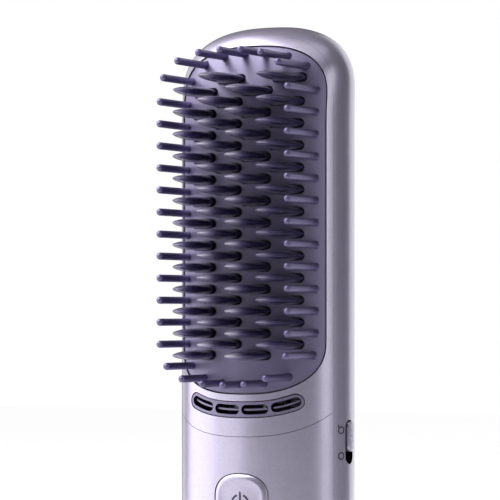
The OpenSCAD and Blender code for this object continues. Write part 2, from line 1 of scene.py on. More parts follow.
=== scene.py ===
# %% [markdown]
# # A cordless straightening brush
#
# The brush is an upright oval bar with a domed crown. A convex comb panel with 52 flat
# heated teeth and 38 round cool pins fills its front, an air outlet curves under the panel,
# and the handle has one push button and a small slide switch on its side.
#
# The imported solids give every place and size. They are made of flat facets, so the pieces
# that the eye sees are built again here as smooth skins over the same form, and stand for
# the solids. Inner pieces keep their solid and get a finish.

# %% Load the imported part
import math

import bpy
import numpy as np
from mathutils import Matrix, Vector
from mathutils.geometry import delaunay_2d_cdt


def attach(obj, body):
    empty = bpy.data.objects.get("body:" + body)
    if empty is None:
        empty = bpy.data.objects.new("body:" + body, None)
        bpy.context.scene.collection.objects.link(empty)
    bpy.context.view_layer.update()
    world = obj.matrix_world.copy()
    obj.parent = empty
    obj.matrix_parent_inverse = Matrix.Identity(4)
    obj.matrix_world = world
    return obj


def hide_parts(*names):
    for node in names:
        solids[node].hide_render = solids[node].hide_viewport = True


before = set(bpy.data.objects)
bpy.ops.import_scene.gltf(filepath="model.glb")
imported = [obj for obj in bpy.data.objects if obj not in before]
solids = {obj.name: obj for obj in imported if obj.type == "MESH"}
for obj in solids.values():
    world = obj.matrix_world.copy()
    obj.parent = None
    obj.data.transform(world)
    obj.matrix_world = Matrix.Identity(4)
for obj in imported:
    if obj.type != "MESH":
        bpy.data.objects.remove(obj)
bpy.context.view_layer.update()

# %% [markdown]
# ## The form of the bar
#
# Every outer piece is cut from one form: an oval 42 mm wide and 27.8 mm deep, straight up to
# the crown, where front, sides and rear each close with their own curve. All of it is kept in
# millimetres until a mesh is made. A depth k under the surface gives the inner faces.

# %% The form's curves
HALF_WIDTH, HALF_DEPTH, TOP = 21.0, 13.9, 205.0
APEX_BACK = 2.3  # the crown's top lies this far behind the middle of the oval
CROWN_H = 24.0
CROWN_Z = TOP - CROWN_H
CLOSING = {"side": (15.0, 2.5), "front": (CROWN_H, 2.0), "rear": (16.0, 2.2)}


def closing(z, k, part):
    """1 along the bar, falling to 0 at the crown's top."""
    height, power = CLOSING[part]
    u = np.clip((np.asarray(z, float) - (TOP - height)) / (height - k), 0, 1)
    return np.maximum(1e-7, 1 - u**power) ** (1 / power)


def half_width(z, k=0.0):
    return (HALF_WIDTH - k) * closing(z, k, "side")


def middle(z, k=0.0):
    return APEX_BACK * (1 - closing(z, k, "front"))


def front(z, k=0.0):
    return APEX_BACK - (HALF_DEPTH - k + APEX_BACK) * closing(z, k, "front")


def rear(z, k=0.0):
    return APEX_BACK + (HALF_DEPTH - k - APEX_BACK) * closing(z, k, "rear")


def comb_side(x, z, k=0.0):
    """How far forward the surface lies at a point of the front view."""
    share = np.clip(1 - (x / half_width(z, k)) ** 2, 0, 1)
    return middle(z, k) - (middle(z, k) - front(z, k)) * np.sqrt(share)


def outward(points):
    """Unit normals of the form at points on it: the slope of its own equation."""
    x, y, z = np.asarray(points, float).T

    def level(height):
        m = middle(height)
        reach = np.where(y > m, rear(height) - m, m - front(height))
        return (x / half_width(height)) ** 2 + ((y - m) / reach) ** 2

    m = middle(z)
    reach = np.where(y > m, rear(z) - m, m - front(z))
    slope = np.array([2 * x / half_width(z) ** 2, 2 * (y - m) / reach**2,
                      (level(z) - level(z - 0.02)) / 0.02]).T
    return slope / np.maximum(1e-9, np.linalg.norm(slope, axis=1))[:, None]


def unit(v):
    return v / np.maximum(1e-12, np.linalg.norm(v, axis=-1, keepdims=True))


print("half way up the bar reaches from", front(100), "to", rear(100), "mm")

# %% [markdown]
# ## Places on the surface
#
# A place is written in two numbers and laid onto the form. Pieces of the comb side use the
# front view, x and z. The rear shell wraps round the sides and over the top, so it uses a fan:
# the angle round the oval and the distance down from the crown's top.

# %% From flat places to points in space
def from_front(k=0.0):
    def lay(flat):
        x, z = np.asarray(flat, float).T
        points = np.array([x, comb_side(x, z, k), z]).T
        return points, outward(points)
    return lay


def fan_radius(z):
    crown = 90 - np.degrees(np.arcsin(np.clip((z - CROWN_Z) / CROWN_H, 0, 1)))
    return np.where(z >= CROWN_Z, crown, 90 + 3 * (CROWN_Z - z))


def fan(angle, z):
    r, a = fan_radius(np.asarray(z, float)), np.radians(angle)
    return np.array([r * np.cos(a), r * np.sin(a)]).T


def from_fan(flat):
    r = np.linalg.norm(flat, axis=1)
    a = np.arctan2(flat[:, 1], flat[:, 0])
    z = np.where(r <= 90, CROWN_Z + CROWN_H * np.sin(np.radians(90 - np.minimum(r, 90))),
                 CROWN_Z - (r - 90) / 3)
    z = np.minimum(z, TOP - 1e-5)
    m = middle(z)
    reach = np.where(np.sin(a) > 0, rear(z) - m, m - front(z))
    points = np.array([half_width(z) * np.cos(a), m + reach * np.sin(a), z]).T
    normals = outward(points)
    normals[r < 0.5] = (0, 0, 1)
    return points, normals


print("the button's middle lies at", from_front()([(0, 96.4)])[0][0].round(2), "mm")

# %% [markdown]
# ## Skins and shells
#
# A moulded shell is a skin of even thickness whose edges are slightly rounded, and it is that
# rounding which catches the light along a seam. So each piece starts as a flat outline with
# its holes, is filled with triangles, is laid onto the form, and then gets thickness. Its edge
# is pulled in by the rounding's radius and rolled over in small steps. Normals come from the
# form, so the highlights run on without facets.

# %% Fill an outline and give it thickness
def spaced(points, step, lay=None, closed=True):
    """Places along a line at an even distance, measured on the surface."""
    line = np.vstack([points, points[:1]]) if closed else np.asarray(points, float)
    solid = lay(line)[0] if lay else line
    way = np.r_[0, np.cumsum(np.linalg.norm(np.diff(solid, axis=0), axis=1))]
    count = max(4, int(round(way[-1] / step)))
    at = np.linspace(0, way[-1], count + 1)
    if closed:
        at = at[:-1]
    return np.array([np.interp(at, way, line[:, i]) for i in (0, 1)]).T


def inside(points, loops):
    """Which places lie in the outline and in none of its holes."""
    hit = np.zeros(len(points), bool)
    x, y = points[:, :1], points[:, 1:]
    for loop in loops:
        a, b = loop, np.roll(loop, -1, axis=0)
        crosses = (a[:, 1] > y) != (b[:, 1] > y)
        rise = np.where(b[:, 1] == a[:, 1], 1e-12, b[:, 1] - a[:, 1])
        meets = (b[:, 0] - a[:, 0]) * (y - a[:, 1]) / rise + a[:, 0]
        hit ^= (crosses & (x < meets)).sum(1) % 2 == 1
    return hit


def skin(loops, lattice, lay, clear=0.55):
    """Points, normals and triangles of a skin with that outline, holes and inner points."""
    edge = np.vstack(loops)
    lattice = np.asarray(lattice, float).reshape(-1, 2)
    if len(lattice):
        lattice = lattice[inside(lattice, loops)]
        solid, rim = lay(lattice)[0], lay(edge)[0]
        near = np.array([np.min(((rim - p) ** 2).sum(1)) for p in solid])
        lattice = lattice[near > clear**2]
    flat = np.vstack([edge, lattice])
    ties, start = [], 0
    for loop in loops:
        ties += [(start + i, start + (i + 1) % len(loop)) for i in range(len(loop))]
        start += len(loop)
    _, _, faces, origin, _, _ = delaunay_2d_cdt([Vector(p) for p in flat], ties, [], 0, 1e-7)
    first = [o[0] if o else -1 for o in origin]
    faces = np.array([[first[i] for i in f] for f in faces if min(first[i] for i in f) >= 0])
    faces = faces[inside(flat[faces].mean(1), loops)]
    points, normals = lay(flat)
    a, b, c = (points[faces[:, i]] for i in range(3))
    wrong = (np.cross(b - a, c - a) * normals[faces[:, 0]]).sum(1) < 0
    faces[wrong] = faces[wrong][:, ::-1]
    return points, normals, faces


def rims(faces):
    """Open edges of a skin as closed rows of corners."""
    sides = {}
    for a, b, c in faces.tolist():
        for s in ((a, b), (b, c), (c, a)):
            sides[s] = True
    follow = {a: b for a, b in sides if (b, a) not in sides}
    rows = []
    while follow:
        row = [next(iter(follow))]
        while follow.get(row[-1]) is not None:
            row.append(follow.pop(row[-1]))
        rows.append(np.array(row[:-1]))
    return rows


def shell(points, normals, faces, depth, rounding, steps=4, drop=None):
    """A closed wall under a skin, with rolled edges. rounding is a radius, or gives one for a rim.

    The wall goes down along the normals, or along the directions that drop gives.
    """
    points, normals = points.copy(), normals.copy()
    down = drop(points, normals) if drop else normals
    rows, quads = rims(faces), []
    added, added_n, count = [], [], len(points)
    tucks = []
    for row in rows:
        at, n = points[row], normals[row]
        ahead = unit(np.roll(at, -1, 0) - at)
        behind = unit(at - np.roll(at, 1, 0))
        lean = ahead + behind
        out = unit(np.cross(lean, n))
        stretch = 1 / np.clip(np.linalg.norm(lean, axis=1) / 2, 0.7, 1)
        r = rounding(at) if callable(rounding) else np.full(len(row), float(rounding))
        out_r = out * (r * stretch)[:, None]
        points[row] = at - out_r
        tucks.append((row, out, out_r, np.minimum(r, depth * 0.45)))
    under = count
    added.append(points - down * depth)
    added_n.append(-normals)
    count *= 2
    for row, out, out_r, r in tucks:
        base, n, last = points[row], normals[row], row
        turns = [(a, 0) for a in np.linspace(0, math.pi / 2, steps + 1)[1:]]
        turns += [(a, 1) for a in np.linspace(math.pi / 2, 0, steps + 1)[:-1]]
        for a, lower in turns:
            sink = r * (1 - math.cos(a))
            sink = depth - sink if lower else sink
            added.append(base + out_r * math.sin(a) - down[row] * sink[:, None])
            added_n.append(unit(out * math.sin(a) + n * math.cos(a) * (-1 if lower else 1)))
            here = np.arange(count, count + len(row))
            count += len(row)
            quads.append(np.array([last, here, np.roll(here, -1), np.roll(last, -1)]).T)
            last = here
        here = row + under
        quads.append(np.array([last, here, np.roll(here, -1), np.roll(last, -1)]).T)
    every = np.vstack([points, *added])
    every_n = np.vstack([normals, *added_n])
    lids = faces.tolist() + (faces[:, ::-1] + under).tolist()
    return every, every_n, lids + np.vstack(quads)[:, ::-1].tolist()


def joined(*parts):
    """Several meshes as one."""
    points, normals, faces, start = [], [], [], 0
    for p, n, f in parts:
        points.append(p)
        normals.append(n)
        faces += [[i + start for i in face] for face in f]
        start += len(p)
    return np.vstack(points), np.vstack(normals), faces


def make_piece(name, mesh_parts, finish, stands_for, body="body"):
    """A mesh object in metres that rides on a body and stands for a solid."""
    points, normals, faces = mesh_parts
    mesh = bpy.data.meshes.new(name)
    mesh.from_pydata((points * 0.001).tolist(), [], faces)
    mesh.polygons.foreach_set("use_smooth", [True] * len(mesh.polygons))
    mesh.normals_split_custom_set_from_vertices(unit(normals).tolist())
    mesh.materials.append(finish)
    piece = bpy.data.objects.new(name, mesh)
    bpy.context.scene.collection.objects.link(piece)
    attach(piece, body)
    if stands_for:
        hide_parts(stands_for)
    print(f"{name}: {len(mesh.vertices)} corners, {len(mesh.polygons)} faces")
    return piece


# %% [markdown]
# ## Outlines
#
# The seams, the panel's edge and the air outlet are curves of the front view. The comb panel
# has superelliptic ends, and the seam under the head and the outlet rise towards the sides.

# %% Outlines in the front view
def arch(w, h, power, steps):
    c = np.cos(np.linspace(0, math.pi, steps + 1))
    return np.array([w * np.sign(c) * np.abs(c) ** (2 / power),
                     h * np.maximum(0, 1 - c * c) ** (1 / power)]).T


def arched_ends(w, z0, z1, h, power, steps=60):
    up = arch(w, h, power, steps)
    return np.vstack([up + (0, z1 - h), -up + (0, z0 + h)])


PANEL_W, PANEL_Z0, PANEL_Z1 = 18.0, 121.3, 199.8
PANEL_END, END_POWER = 12.0, 2.6  # height and roundness of the panel's ends
SEAM_LOW, VENT_LOW = 111.5, 117.6


def panel_outline(grow):
    return arched_ends(PANEL_W + grow, PANEL_Z0 - grow, PANEL_Z1 + grow, PANEL_END + grow,
                       END_POWER)


def smile(x, w, h, power):
    return h * (1 - np.maximum(0, 1 - np.abs(x / w) ** power) ** (1 / power))


def seam_z(x):
    return SEAM_LOW + smile(x, 21.05, 11.3, 2.4)


def vent_z(x):
    return VENT_LOW + smile(x, 19.4, 12, 2.5)


def band(line, r):
    """Closed outline at distance r from a line, with round ends."""
    step = np.gradient(line, axis=0)
    side = unit(np.array([-step[:, 1], step[:, 0]]).T)
    caps = []
    for end, sign in ((-1, 1), (0, -1)):
        a = math.atan2(step[end][1], step[end][0]) + (0 if sign > 0 else math.pi)
        turn = a + math.pi / 2 - np.linspace(0, math.pi, 11)[1:-1]
        caps.append(line[end] + r * np.array([np.cos(turn), np.sin(turn)]).T)
    return np.vstack([line + r * side, caps[0], (line - r * side)[::-1], caps[1]])


SPLIT, SPLIT_LEAN = 5.4, 1.0
SEAM, FLUSH = 0.018, 0.01  # gaps at the seams across and at the parting line along the sides


def parting(z):
    """Where front and rear shell meet, seen from the side."""
    return -SPLIT + SPLIT_LEAN * (np.maximum(0, z - CROWN_Z) / CROWN_H) ** 2


def parting_top(gap):
    low, high = 190.0, TOP - 0.001
    for _ in range(60):
        mid = (low + high) / 2
        low, high = (mid, high) if front(mid) < parting(mid) - gap else (low, mid)
    return low


def parting_x(z, gap):
    """Half width of the front pieces at their edge."""
    m = middle(z)
    share = np.clip((m - parting(z) + gap) / (m - front(z)), 0, 1)
    return half_width(z) * np.sqrt(1 - share**2)


def edge_heights(z0, gap, step=0.4):
    """Heights along the parting line, closer together where it turns over the crown."""
    top = parting_top(gap)
    crown = CROWN_Z + (top - CROWN_Z) * np.sin(np.linspace(0, math.pi / 2, 90))
    return np.r_[np.arange(z0, CROWN_Z, step), crown]


print("front pieces end at", round(parting_top(FLUSH / 2), 2), "mm")

# %% [markdown]
# ## Finishes
#
# Each finish is named for the real material and for how its surface was made. Colours are
# written as hex codes and turned to linear light by one function, and one small function adds
# a node with its settings and links. Patterns are measured in millimetres on the object.

# %% Helpers for finishes
def linear(code):
    parts = [int(code[i:i + 2], 16) / 255 for i in (1, 3, 5)]
    return [p / 12.92 if p <= 0.04045 else ((p + 0.055) / 1.055) ** 2.4 for p in parts] + [1.0]


def add(tree, kind, inputs=None, **settings):
    node = tree.nodes.new("ShaderNode" + kind)
    for key, value in settings.items():
        setattr(node, key, value)
    for key, value in (inputs or {}).items():
        if isinstance(value, bpy.types.NodeSocket):
            tree.links.new(value, node.inputs[key])
        else:
            node.inputs[key].default_value = value
    return node


def per_mm(size):
    """Texture scale of a pattern whose cells measure that many millimetres."""
    return 1000 / size


def finish(name, colour, roughness, grain=0.6, spread=0.05, bump=0.15, relief=0.01, wear=0.04,
           **shader):
    """A moulded or machined surface: colour, roughness and relief vary with a fine grain."""
    material = bpy.data.materials.new(name)
    material.use_nodes = True
    tree = material.node_tree
    tree.nodes.clear()
    place = add(tree, "TexCoord").outputs["Object"]
    fine = add(tree, "TexNoise", {"Vector": place, "Scale": per_mm(grain), "Detail": 1.5})
    broad = add(tree, "TexNoise", {"Vector": place, "Scale": per_mm(14), "Detail": 2.0})
    base = linear(colour) if isinstance(colour, str) else None
    if base:
        darker = [c * (1 - spread) for c in base[:3]] + [1]
        lighter = [min(1, c * (1 + spread)) for c in base[:3]] + [1]
        tone = add(tree, "Mix", {0: broad.outputs["Fac"], 6: darker, 7: lighter}, data_type="RGBA")
        tone = tone.outputs[2]
    else:
        tone = colour(tree, place)
    rough = add(tree, "MapRange", {"Value": fine.outputs["Fac"], "From Min": 0.3, "From Max": 0.7,
                                   "To Min": roughness - wear, "To Max": roughness + wear})
    dents = add(tree, "Bump", {"Height": fine.outputs["Fac"], "Strength": bump,
                               "Distance": relief * 0.001})
    surface = add(tree, "BsdfPrincipled", {"Base Color": tone, "Roughness": rough.outputs[0],
                                           "Normal": dents.outputs[0], **shader})
    out = add(tree, "OutputMaterial", {"Surface": surface.outputs[0]})
    return material


print("a middle grey in linear light:", round(linear("#808080")[0], 3))

# %% [markdown]
# ### The lacquered housing
#
# The housing is moulded ABS sprayed with a pearl lacquer: a lavender base with fine mica
# flakes under a satin clear coat. The eye sees soft, broad highlights from the flakes and a
# faint sparkle. Flakes are about 0.05 mm; they are drawn 0.3 mm wide, or they wouldn't show.

# %% Pearl lacquer
def pearl(tree, place):
    flakes = add(tree, "TexVoronoi", {"Vector": place, "Scale": per_mm(0.3)})
    level = add(tree, "SeparateColor", {"Color": flakes.outputs["Color"]}).outputs[0]
    tone = add(tree, "Mix", {0: level, 6: linear("#BFB7D3"), 7: linear("#C7C0DA")},
               data_type="RGBA")
    return tone.outputs[2]


lacquer = finish("ABS_sprayed_with_pearl_lacquer", pearl, 0.33, grain=4.0, bump=0.1, relief=0.004,
                 wear=0.015, Metallic=0.72,
                 **{"Coat Weight": 1.0, "Coat Roughness": 0.24, "Coat IOR": 1.75})

print(lacquer.name, "has", len(lacquer.node_tree.nodes), "nodes")

# %% [markdown]
# ### The comb
#
# Panel and pins are moulded PBT, violet with a fine satin texture, the pins a little darker and
# glossier. The heated teeth are coated, and a ramp along each tooth paints light and shade into
# its colour: a pale painted highlight towards the tip and painted shade, deep violet, towards the
# root, where the teeth shade each other. The outlet is greyer ABS, its colour also darkened to
# paint the shade of its shallow recess, and the symbols are printed in dark ink.

# %% Comb finishes
comb_satin = finish("PBT_moulded_satin_violet", "#847C9F", 0.42, grain=1.4, bump=0.08, relief=0.006,
                    wear=0.02, Metallic=0.3, **{"Coat Weight": 0.3, "Coat Roughness": 0.3})
pin_satin = finish("PBT_moulded_pin_violet", "#7A7299", 0.4, grain=1.4, bump=0.05, relief=0.003,
                   wear=0.02, Metallic=0.8)


# Painted light: the ramp paints a pale highlight at the tip and shade, deep violet, at the root.
def tooth_painted_light_ramp(tree, place):
    depth = add(tree, "SeparateXYZ", {"Vector": place}).outputs["Y"]
    along = add(tree, "MapRange", {"Value": depth, "From Min": -0.0262, "From Max": -0.0162})
    ramp = add(tree, "ValToRGB", {"Fac": along.outputs[0]})
    stops = ramp.color_ramp.elements
    stops[0].color = linear("#C9C5D6")
    stops[1].color = linear("#3A305C")
    for at, code in ((0.12, "#AAA3C0"), (0.32, "#6C6290"), (0.55, "#4A406E")):
        stop = stops.new(at)
        stop.color = linear(code)
    return ramp.outputs["Color"]


tooth_coat_painted_light = finish("coated_tooth_painted_highlight_and_shade", tooth_painted_light_ramp, 0.26, grain=2.5, bump=0.03, relief=0.002,
                    wear=0.01, Metallic=0.45,
                    **{"Coat Weight": 0.5, "Coat Roughness": 0.16, "Sheen Weight": 0.15,
                       "Sheen Roughness": 0.35, "Sheen Tint": linear("#D9D4EA")})
# Darker than the lacquer: partly a greyer moulding, partly painted shade of its shallow recess.
grille_grey_painted_shade = finish("ABS_moulded_grille_grey_violet_painted_shade", "#8E86A4", 0.42, grain=1.4, bump=0.05,
                      relief=0.004, wear=0.02, Metallic=0.5)
print_ink = finish("pad_printed_ink_dark_grey", "#423E52", 0.5, grain=0.3, bump=0.1, relief=0.004)

print("tooth coat:", [node.type for node in tooth_coat_painted_light.node_tree.nodes])

# %% [markdown]
# ### Inside
#
# None of these show from outside, but each keeps its own finish: cast and anodised aluminium
# behind the comb, white alumina strips, nickel tabs, black glass-filled nylon, green board
# lacquer, dark silicone leads and the shrink film of the cells.

# %% Inner finishes
aluminium = finish("aluminium_die_cast", "#B9BABD", 0.42, grain=0.5, Metallic=1.0)
anodised = finish("aluminium_pressed", "#A7A9AE", 0.35, grain=0.3, Metallic=1.0)
steel = finish("steel_zinc_plated", "#AEB0B4", 0.3, grain=0.2, Metallic=1.0)
nickel = finish("nickel_strip", "#C4C2BA", 0.28, grain=0.2, Metallic=1.0)
alumina = finish("alumina_ceramic_pressed", "#E4DFD2", 0.55, grain=0.25)
black_nylon = finish("nylon_glass_filled_black", "#1E1E22", 0.5, grain=0.3, bump=0.3)
tray_nylon = finish("LCP_moulded_sand", "#CDBF9E", 0.6, grain=0.4)
board_green = finish("FR4_green_solder_mask", "#1D5A3A", 0.35, grain=0.5)
lead_grey = finish("silicone_lead_dark_grey", "#2E2C33", 0.5, grain=0.4)
cell_film = finish("PVC_shrink_film_blue", "#3E7FA6", 0.3, grain=0.8)
holder_white = finish("ABS_moulded_white", "#DEDDD8", 0.45, grain=0.5)
for node, material in {
        "heating_plate": aluminium, "heater_clamp": anodised, "heater_strips": alumina,
        "insulating_tray": tray_nylon, "thermal_fuse": steel, "heater_leads": lead_grey,
        "ion_module": black_nylon, "ion_needles": steel, "circuit_board": board_green,
        "board_parts": black_nylon, "button_switch": steel, "slide_switch": steel,
        "button_plunger": black_nylon, "switch_lever": black_nylon, "battery_cells": cell_film,
        "cell_tabs": nickel, "cell_holder": holder_white, "charge_port": steel,
        "port_board": board_green, "case_screws": steel}.items():
    for at in range(max(1, len(solids[node].material_slots))):
        if solids[node].material_slots:
            solids[node].material_slots[at].material = material
        else:
            solids[node].data.materials.append(material)

# %% [markdown]
# ## Housing
#
# Four mouldings close on each other: the head frame round the comb, the front cover of the
# handle, the rear shell with sides and crown, and the bottom cap. The seams show as hairlines,
# 0.02 mm wide with edges rolled by 0.05 mm. Along the sides both shells meet flush and their
# edges stay almost sharp, so that no line shows there. Skins are 1.6 mm thick.
#
# A Solidify and a Bevel modifier could give such walls. They are worked out in numbers here,
# because the rolled edge then keeps its radius round every corner of the outline, and the
# normals stay those of the smooth form.

# %% Rows of places for the front pieces
def segments(parts, step, lay):
    """One closed outline from open lines, each divided evenly, so that its corners stay."""
    return np.vstack([spaced(p, step, lay, closed=False)[:-1] for p in parts])


def front_rows(z0, z1, step=2.6, turn=3.4, widest=72):
    heights = list(np.arange(z0, min(z1, CROWN_Z), step))
    if z1 > CROWN_Z:
        crown = CROWN_Z + CROWN_H * np.sin(np.radians(np.arange(0, 80, 2.6)))
        heights += [z for z in crown if z < z1]
    rows = []
    for j, z in enumerate(heights):
        a = np.radians(np.arange(-widest, widest + 0.1, turn) + (turn / 2 if j % 2 else 0))
        rows.append(np.array([half_width(z) * np.sin(a), np.full(len(a), z)]).T)
    return np.vstack(rows)


WALL = 1.6
outer = from_front()
side_x = float(parting_x(100.0, FLUSH / 2))
corner_z = float(seam_z(side_x))
across = np.linspace(-side_x, side_x, 200)
print("front and rear shell meet", round(side_x, 2), "mm from the middle")

# %% [markdown]
# ### Head frame
#
# The frame has two openings, one for the comb panel and a curved one for the air outlet. It
# leaves 0.2 mm round the panel, which the eye reads as a dark line.

# %% Head frame
PANEL_GAP = 0.2
heights = edge_heights(corner_z + SEAM / 2, FLUSH / 2)
right = np.array([parting_x(heights, FLUSH / 2), heights]).T
left = (right * (-1, 1))[::-1]
bottom = np.array([across, seam_z(across) + SEAM / 2]).T
frame_edge = segments([bottom, right, left], 0.8, outer)
opening = spaced(panel_outline(PANEL_GAP), 0.7, outer)
VENT_REACH, VENT_R = 14.4, 1.85
vent_x = np.linspace(VENT_R - VENT_REACH, VENT_REACH - VENT_R, 80)
vent_line = np.array([vent_x, vent_z(vent_x)]).T
vent_hole = spaced(band(vent_line, VENT_R), 0.45, outer)
head_skin = skin([frame_edge, opening, vent_hole], front_rows(112, 204, 1.3), outer)


def edge_rounding(usual, comb=0.0):
    """Almost sharp at the parting line, where both shells meet flush, softest round the comb."""
    def radius(at):
        flush = np.abs(at[:, 1] - parting(at[:, 2])) < 0.2
        by_comb = (np.abs(at[:, 0]) < PANEL_W + 1) & (at[:, 2] > PANEL_Z0 - 1)
        return np.where(flush, 0.012, np.where(by_comb & (comb > 0), comb, usual))
    return radius


make_piece("head_frame_skin", shell(*head_skin, WALL, edge_rounding(0.05, 0.1)), lacquer,
           "head_frame")

# %% [markdown]
# ### Front cover
#
# The cover runs from the seam down to the bottom cap, with one round-cornered opening for the
# button. The opening leaves 0.09 mm round the button, and its wall goes straight in, so that
# the button can be pressed without touching it.

# %% Front cover
FOOT = 3.0
BUTTON_Z, BUTTON_W, BUTTON_H, BUTTON_GAP = 96.4, 13.4, 13.6, 0.09
BUTTON_END, BUTTON_POWER = 5.2, 2.3


def button_outline(grow):
    return arched_ends(BUTTON_W / 2 + grow, BUTTON_Z - BUTTON_H / 2 - grow,
                       BUTTON_Z + BUTTON_H / 2 + grow, BUTTON_END + grow / 2, BUTTON_POWER)


low = np.array([across, np.full(200, FOOT + SEAM)]).T
rise = np.array([np.full(120, side_x), np.linspace(FOOT + SEAM, corner_z - SEAM / 2, 120)]).T
high = np.array([across, seam_z(across) - SEAM / 2]).T[::-1]
cover_edge = segments([low, rise, high, (rise * (-1, 1))[::-1]], 0.9, outer)
button_hole = spaced(button_outline(BUTTON_GAP), 0.5, outer)
cover_skin = skin([cover_edge, button_hole], front_rows(4, 118, 2.6), outer)


def straight_in(points, normals):
    """Direction of the wall: straight in round the button, along the normals elsewhere."""
    near = inside(points[:, [0, 2]], [button_outline(0.2)])
    return np.where(near[:, None], (0.0, -1.0, 0.0), normals)


make_piece("front_cover_skin", shell(*cover_skin, WALL, edge_rounding(0.045), drop=straight_in),
           lacquer, "front_cover")

# %% [markdown]
# ### Rear shell
#
# One shell makes the sides, the rear and the crown. It is laid out as a fan round the crown's
# top, so that no join runs over the dome. The slide switch's slot is a hole in it. The lattice
# of inner points is drawn in rings that keep about 1.1 mm between points over the crown.

# %% Rear shell
def angle_at(z, y):
    m = middle(z)
    return -np.degrees(np.arcsin(np.clip((m - y) / (m - front(z)), 0, 1)))


heights = edge_heights(FOOT + SEAM, -FLUSH / 2, 1.0)
start = angle_at(heights, parting(heights) + FLUSH / 2)
start[-1] = -90.0
right = fan(start, heights)
left = fan(180 - start, heights)[::-1]
turns = np.linspace(180 - start[0], start[0], 200)
bottom = fan(turns, np.full(200, FOOT + SEAM))
shell_edge = segments([right, left, bottom], 0.9, from_fan)
SLOT_Z, SLOT_L, SLOT_W, SLOT_Y = 105.3, 9.9, 3.3, -0.5


def stadium(w, h, steps=16):
    a = np.linspace(0, math.pi, steps)
    end = np.array([w / 2 * np.cos(a), w / 2 * np.sin(a)]).T
    return np.vstack([end + (0, (h - w) / 2), -end - (0, (h - w) / 2)])


slot_yz = stadium(SLOT_W, SLOT_L) + (SLOT_Y, SLOT_Z + SLOT_L / 2)
slot_hole = spaced(fan(np.degrees(np.arcsin(slot_yz[:, 0] / HALF_DEPTH)), slot_yz[:, 1]), 0.35,
                   from_fan)
places = []
for j, z in enumerate(np.arange(4.5, 180.5, 2.8)):
    a = np.arange(-28, 208, 3.6) + (1.8 if j % 2 else 0)
    places.append(fan(a, np.full(len(a), z)))
for j, lean in enumerate(np.arange(0, 88, 2.6)):
    z = CROWN_Z + CROWN_H * math.sin(math.radians(lean))
    girth = math.pi * (half_width(z) + (rear(z) - front(z)) / 2)
    a = np.arange(-90, 270, 360 / max(8, girth / 1.1)) + (1 if j % 2 else 0)
    places.append(fan(a, np.full(len(a), z)))
places.append(np.zeros((1, 2)))
rear_skin = skin([shell_edge, slot_hole], np.vstack(places), from_fan)
make_piece("rear_shell_skin", shell(*rear_skin, WALL, edge_rounding(0.06)), lacquer, "back_shell")

# %% [markdown]
# ### Bottom cap
#
# A flat-footed cap, rounded by 2 mm, with the charging inlet in its middle and two sunk screws.
# A flat outline is bent round the foot by one function: flat, then round, then up the side. So
# foot and side share one skin, and its highlight runs on without a break.

# %% Bottom cap
FOOT_R = 2.0
INLET_H, INLET_W = 3.5, 9.2
SCREW_X, SCREW_Y, SCREW_R = 14.5, 3.4, 2.15


def from_cap(flat):
    """Flat in the middle, then round the foot, then up the side. 10 units are 1 mm of way."""
    flat = np.asarray(flat, float)
    grow = np.hypot(flat[:, 0] / (HALF_WIDTH - FOOT_R), flat[:, 1] / (HALF_DEPTH - FOOT_R))
    way = np.maximum(0, grow - 1) * 10
    turn = np.minimum(way / FOOT_R, math.pi / 2)
    rim = flat / np.maximum(grow, 1e-9)[:, None]
    a = np.arctan2(rim[:, 1] / (HALF_DEPTH - FOOT_R), rim[:, 0] / (HALF_WIDTH - FOOT_R))
    out = FOOT_R * np.sin(turn)
    x = np.where(grow > 1, (HALF_WIDTH - FOOT_R + out) * np.cos(a), flat[:, 0])
    y = np.where(grow > 1, (HALF_DEPTH - FOOT_R + out) * np.sin(a), flat[:, 1])
    z = FOOT_R * (1 - np.cos(turn)) + np.maximum(0, way - FOOT_R * math.pi / 2)
    points = np.array([x, y, z]).T
    side = unit(np.array([np.cos(a) / HALF_WIDTH, np.sin(a) / HALF_DEPTH, 0 * a]).T)
    normals = side * np.sin(turn)[:, None] - np.array([[0, 0, 1]]) * np.cos(turn)[:, None]
    return points, normals


reach = 1 + (FOOT_R * math.pi / 2 + FOOT - FOOT_R) / 10
a = np.linspace(0, 2 * math.pi, 140, endpoint=False)
oval = np.array([(HALF_WIDTH - FOOT_R) * np.cos(a), (HALF_DEPTH - FOOT_R) * np.sin(a)]).T
inlet = spaced(stadium(INLET_H, INLET_W)[:, ::-1], 0.4)
screw = SCREW_R * np.array([np.cos(a[::5]), np.sin(a[::5])]).T
heads = [screw + (side * SCREW_X, SCREW_Y) for side in (-1, 1)]
places = [oval * g for g in 1 + np.arange(0, reach - 1 - 0.03, 0.035)]
grid = np.array([(x, y) for x in np.arange(-19, 19.1, 1.6) for y in np.arange(-12, 12.1, 1.6)])
places.append(grid[np.hypot(grid[:, 0] / 18.6, grid[:, 1] / 11.5) < 1])
cap_skin = skin([oval * reach, inlet, *heads], np.vstack(places), from_cap, clear=0.3)
make_piece("end_cap_skin", shell(*cap_skin, 1.5, 0.15), lacquer, "end_cap")

# %% [markdown]
# ## Comb
#
# The panel lies 0.32 mm under the frame, convex like the body. Its slots let the heated teeth
# through, which stand on the hot plate behind; the pins round them belong to the cool panel. A
# flange under the frame closes the gap round the panel from behind. The 52 slots could be cut
# with a Boolean; as holes of the outline they come out clean, each with its own rolled edge.

# %% Comb panel
COLUMN_IN, TOP_STEP = 7.6, 0.45
COLUMN = 2 * (PANEL_W - COLUMN_IN) / 3
TOOTH_W, TOOTH_T, TIP_W, TOOTH_GAP = COLUMN + 0.65, 2.15, 3.0, 0.03
PANEL_SUNK, SOLID_SUNK, PANEL_T = 0.32, 0.45, 1.8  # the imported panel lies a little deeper
sunk = from_front(PANEL_SUNK)
PITCH, TOP_ROW = 4.96, 191.85


def row_z(r):
    """The uppermost row sits a little higher than its step."""
    return TOP_ROW - PITCH * r + (TOP_STEP if r == 0 else 0)


